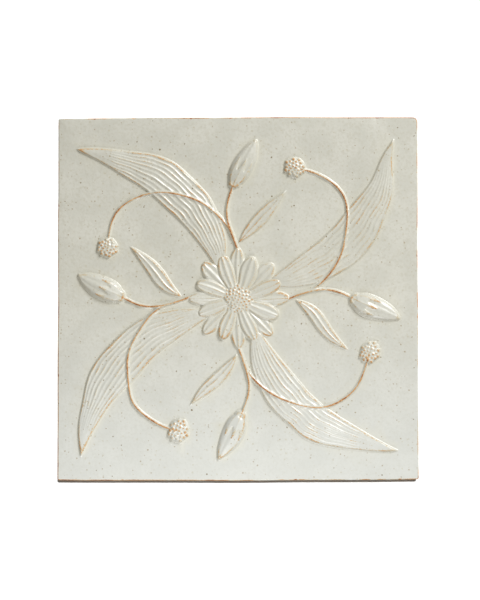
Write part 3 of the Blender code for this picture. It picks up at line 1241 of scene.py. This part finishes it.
@dataclass(frozen=True)
class GlazedStoneware:
    """Satin off-white glaze over toasted stoneware, bare below the glaze line and on the back."""

    cream: Colour = (0.632, 0.621, 0.539)
    grey_cream: Colour = (0.583, 0.574, 0.494)
    grain: Colour = (0.526, 0.505, 0.412)
    # painted cool sheen: a paler, bluer colour mixed in towards the bottom edge
    painted_bottom_sheen: Colour = (0.641, 0.664, 0.643)
    # glaze pooled in hollows beside the forms; its warm khaki tint is partly painted shade
    pooled_and_shade_tint: Colour = (0.637, 0.609, 0.480)
    khaki: Colour = (0.545, 0.470, 0.315)
    tan: Colour = (0.555, 0.305, 0.130)
    brown: Colour = (0.310, 0.105, 0.038)
    clouds: Unevenness = Unevenness(size=15.0, detail=3.0, low=0.35, high=0.65, shift=1.0)
    graining: Unevenness = Unevenness(size=1.3, detail=3.0, low=0.42, high=0.72, shift=2.0)
    olive_flecks: Flecks = Flecks(
        Specks(spacing=2.6, radius=0.85, share=0.62, softness=0.9, shift=3.0),
        strength=0.45,
        colour=(0.420, 0.360, 0.205),
    )
    iron_specks: Flecks = Flecks(
        Specks(spacing=2.1, radius=0.58, share=0.30, softness=0.5, shift=4.0),
        strength=0.64,
        colour=IRON,
    )
    black_specks: Flecks = Flecks(
        Specks(spacing=4.4, radius=0.62, share=0.29, softness=0.45, shift=6.0),
        strength=0.88,
        colour=(0.150, 0.095, 0.020),
    )

    clay: Colour = (0.520, 0.330, 0.185)
    toasted: Colour = (0.430, 0.225, 0.105)
    toasting: Unevenness = Unevenness(size=26.0, detail=3.0, low=0.38, high=0.64, shift=7.0)
    grog: Flecks = Flecks(
        Specks(spacing=1.7, radius=0.42, share=0.6, softness=0.4, shift=8.0),
        strength=0.55,
        colour=(0.680, 0.560, 0.400),
    )
    clay_iron: Flecks = Flecks(
        Specks(spacing=2.2, radius=0.36, share=0.45, softness=0.4, shift=9.0),
        strength=0.75,
        colour=IRON,
    )

    peel: Unevenness = Unevenness(size=1.9, detail=2.0, low=0.1, high=0.9, shift=11.0)
    pinholes: Specks = Specks(spacing=7.0, radius=0.42, share=0.5, softness=0.8, shift=12.0)
    grit: Unevenness = Unevenness(size=0.8, detail=4.0, low=0.2, high=0.8, shift=13.0)
    ragged_line: Unevenness = Unevenness(size=1.4, detail=2.0, low=0.2, high=0.8, shift=10.0)

    def glaze_colour(self, wiring: Wiring, broken: Feed) -> bpy.types.NodeSocket:
        """The glaze, clouded, with a painted cool sheen that grows towards the bottom edge, and
        showing iron where it is thin.

        Args:
            wiring: The material's node tree.
            broken: How far the glaze has broken.

        Returns:
            The colour.
        """
        colour = wiring.mixed(self.clouds.place(wiring), self.grey_cream, self.cream)
        grained = wiring.sum("MULTIPLY", self.graining.place(wiring), 0.55)
        colour = wiring.mixed(grained, colour, self.grain)
        # Painted sheen: the glaze goes paler and cooler towards the bottom edge, standing in for
        # brighter, bluer light falling there.
        sheen_towards_bottom = wiring.step(wiring.coordinate("Y"), 20 * MM, -100 * MM)
        colour = wiring.mixed(wiring.sum("MULTIPLY", sheen_towards_bottom, 0.5), colour, self.painted_bottom_sheen)
        # Pooled glaze in the hollows beside the forms; its warmer khaki tint is partly painted
        # shade.
        pool_and_shade = wiring.carried("pooled_glaze_and_shade")
        colour = wiring.mixed(wiring.sum("MULTIPLY", pool_and_shade, 0.5), colour, self.pooled_and_shade_tint)
        breaks = (0.10, 0.42, self.khaki), (0.32, 0.61, self.tan), (0.78, 1.15, self.brown)
        for low, high, tint in breaks:
            colour = wiring.mixed(wiring.step(broken, low, high), colour, tint)
        for flecks in (self.olive_flecks, self.iron_specks, self.black_specks):
            colour = flecks.over(wiring, colour)
        return colour

    def clay_colour(self, wiring: Wiring) -> bpy.types.NodeSocket:
        """The bare stoneware, toasted in patches, with pale grog and iron in it."""
        colour = wiring.mixed(self.toasting.place(wiring), self.clay, self.toasted)
        return self.clay_iron.over(wiring, self.grog.over(wiring, colour))

    def skin(self, wiring: Wiring, glazed: Feed, broken: Feed) -> bpy.types.NodeSocket:
        """The normal of the surface's grain.

        The glaze has the slight waves of orange peel and a few pinholes. Bare and nearly bare
        clay is gritty.

        Args:
            wiring: The material's node tree.
            glazed: The share of glaze on the surface.
            broken: How far the glaze has broken.

        Returns:
            The normal.
        """
        peel = self.peel.place(wiring)
        pinholes = self.pinholes.place(wiring)
        smooth_skin = wiring.sum("MULTIPLY_ADD", pinholes, -0.8, wiring.sum("MULTIPLY", peel, 2.0))
        grit = self.grit.place(wiring)
        bareness = wiring.sum("MAXIMUM", wiring.sum("SUBTRACT", 1.0, glazed), broken)
        rough_skin = wiring.sum("MULTIPLY", grit, wiring.sum("MULTIPLY", bareness, 3.5))
        height = wiring.sum("ADD", smooth_skin, rough_skin)
        bump = wiring.node("Bump", {"Height": height, "Strength": 1.0, "Distance": 0.025 * MM})
        return bump.outputs["Normal"]

    def build(self) -> bpy.types.Material:
        """Wires the material round its one shader.

        The glaze ends within a third of a millimetre at its line, which a noise makes ragged,
        and breaks to tan just above it. Its gloss goes where it is broken.

        Returns:
            The material.
        """
        material = bpy.data.materials.new("glazed stoneware")
        material.use_nodes = True
        wiring = Wiring(material.node_tree)
        broken = Breaking(wiring.carried("thin_glaze")).place(wiring)
        line = wiring.carried("glaze_line")
        height = wiring.coordinate("Z")
        over = wiring.sum("MULTIPLY_ADD", height, 1 / MM, wiring.sum("MULTIPLY", line, -1.0))
        ragged = wiring.sum("MULTIPLY_ADD", self.ragged_line.place(wiring), 0.5, over)
        glazed = wiring.step(ragged, 0.0, 0.35)
        edge = wiring.step(over, 1.3, 0.0)
        broken = wiring.sum("MAXIMUM", broken, wiring.sum("MULTIPLY", edge, 0.62))
        colour = wiring.mixed(glazed, self.clay_colour(wiring), self.glaze_colour(wiring, broken))
        whole = wiring.sum("SUBTRACT", 1.0, wiring.step(broken, 0.15, 0.6))
        gloss = wiring.sum("MULTIPLY", glazed, whole)
        wiring.feed(material.node_tree.nodes["Principled BSDF"], {
            "Base Color": colour,
            "Roughness": wiring.sum("MULTIPLY_ADD", gloss, -0.42, 0.82),
            "Coat Weight": gloss,
            "Coat Roughness": 0.37,
            "Normal": self.skin(wiring, glazed, broken),
        })
        return material


@dataclass(frozen=True)
class Lamp:
    """A square soft light that faces the tile's middle.

    Its direction from there is an azimuth in degrees from +X towards +Y and an elevation above
    the floor. The distance and the side are in metres, and the power in watts.
    """

    name: str
    azimuth: float
    elevation: float
    distance: float
    side: float
    power: float
    colour: Colour = (1.0, 1.0, 1.0)

    def hang(self, lights: Sequence[bpy.types.Object]) -> None:
        """Hangs the lamp.

        Args:
            lights: The only objects that it lights, though any can stand in its way.
        """
        data = bpy.data.lights.new(self.name, "AREA")
        data.shape = "SQUARE"
        data.size = self.side
        data.energy = self.power
        data.color = self.colour
        lamp = linked(self.name, data)
        rise = math.radians(self.elevation)
        way = Vector((*place(math.cos(rise), self.azimuth), math.sin(rise)))
        lamp.location = way * self.distance
        lamp.rotation_euler = way.to_track_quat("Z", "Y").to_euler()
        lit = bpy.data.collections.new("lit by " + self.name)
        for item in lights:
            lit.objects.link(item)
        lamp.light_linking.receiver_collection = lit
        lamp.visible_camera = False


@dataclass(frozen=True)
class Studio:
    """A pale floor, soft light and a camera straight above the tile.

    The image and the tile's centre in it are in pixels, the scale is in millimetres a pixel,
    and the other lengths are in millimetres.
    """

    image: tuple[int, int] = (480, 600)
    scale: float = 0.5561
    tile_centre: tuple[float, float] = (238.05, 298.9)
    camera_height: float = 1400.0
    sensor: float = 36.0
    floor_side: float = 6000.0
    floor_colour: Colour = (0.48, 0.48, 0.48)
    dome: float = 0.215
    dome_colour: Colour = (1.0, 0.93, 0.80)
    backdrop: float = 1.0
    tile_lamps: tuple[Lamp, ...] = (
        Lamp("window", azimuth=51.5, elevation=36, distance=1.61, side=0.547, power=27.9,
             colour=(0.975, 0.995, 1.035)),
        Lamp("reflector", azimuth=-93, elevation=37, distance=0.391, side=0.183, power=0.832,
             colour=(0.96, 0.97, 1.0)),
    )
    floor_lamps: tuple[Lamp, ...] = (
        Lamp("overhead", azimuth=70, elevation=78, distance=40.0, side=1.2, power=34000),
    )

    def place_camera(self) -> None:
        """Puts the camera so that the tile's middle and its scale fall where the photo has them."""
        width, height = self.image
        data = bpy.data.cameras.new("camera")
        data.sensor_width = self.sensor
        away = self.camera_height - FACE_HEIGHT
        data.lens = self.sensor * away / (height * self.scale)
        data.clip_end = 20.0
        camera = linked("camera", data)
        right = (width / 2 - self.tile_centre[0]) * self.scale
        down = (height / 2 - self.tile_centre[1]) * self.scale
        camera.location = Vector((right, -down, self.camera_height)) * MM
        bpy.context.scene.camera = camera

    def lay_floor(self) -> bpy.types.Object:
        """Lays a plain floor under the tile.

        Returns:
            The floor.
        """
        half = self.floor_side / 2 * MM
        mesh = bpy.data.meshes.new("floor")
        corners = [(-half, -half, 0), (half, -half, 0), (half, half, 0), (-half, half, 0)]
        mesh.from_pydata(corners, [], [(0, 1, 2, 3)])
        floor = linked("floor", mesh)
        material = bpy.data.materials.new("floor")
        material.use_nodes = True
        shader = material.node_tree.nodes["Principled BSDF"]
        shader.inputs["Base Color"].default_value = rgba(self.floor_colour)
        shader.inputs["Roughness"].default_value = 0.9
        mesh.materials.append(material)
        return floor

    def light_dome(self) -> None:
        """Lights the studio evenly from all round, in front of a white backdrop."""
        world = bpy.data.worlds.new("studio")
        world.use_nodes = True
        wiring = Wiring(world.node_tree)
        seen = wiring.node("LightPath", {}).outputs["Is Camera Ray"]
        strength = wiring.sum("MULTIPLY_ADD", seen, self.backdrop - self.dome, self.dome)
        colour = wiring.mixed(seen, self.dome_colour, (1.0, 1.0, 1.0))
        light = {"Color": colour, "Strength": strength}
        wiring.feed(world.node_tree.nodes["Background"], light)
        bpy.context.scene.world = world

    def build(self, tile: bpy.types.Object) -> None:
        """Sets up the whole studio.

        Args:
            tile: The tile that it is set up round.
        """
        self.place_camera()
        floor = self.lay_floor()
        self.light_dome()
        for lamp in self.tile_lamps:
            lamp.hang([tile])
        for lamp in self.floor_lamps:
            lamp.hang([floor])
        bpy.context.scene.view_settings.view_transform = "Standard"


def main() -> None:
    """Builds the tile and its studio, and says what was made."""
    logging.basicConfig(level=logging.INFO, format="%(name)s: %(message)s")
    body = Tile(Detail.FULL).build()
    body.data.materials.clear()
    body.data.materials.append(GlazedStoneware().build())
    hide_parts("tile")
    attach(body, "root")
    log.info("%s: %d vertices", body.name, len(body.data.vertices))
    Studio().build(body)


if __name__ == "__main__":
    main()
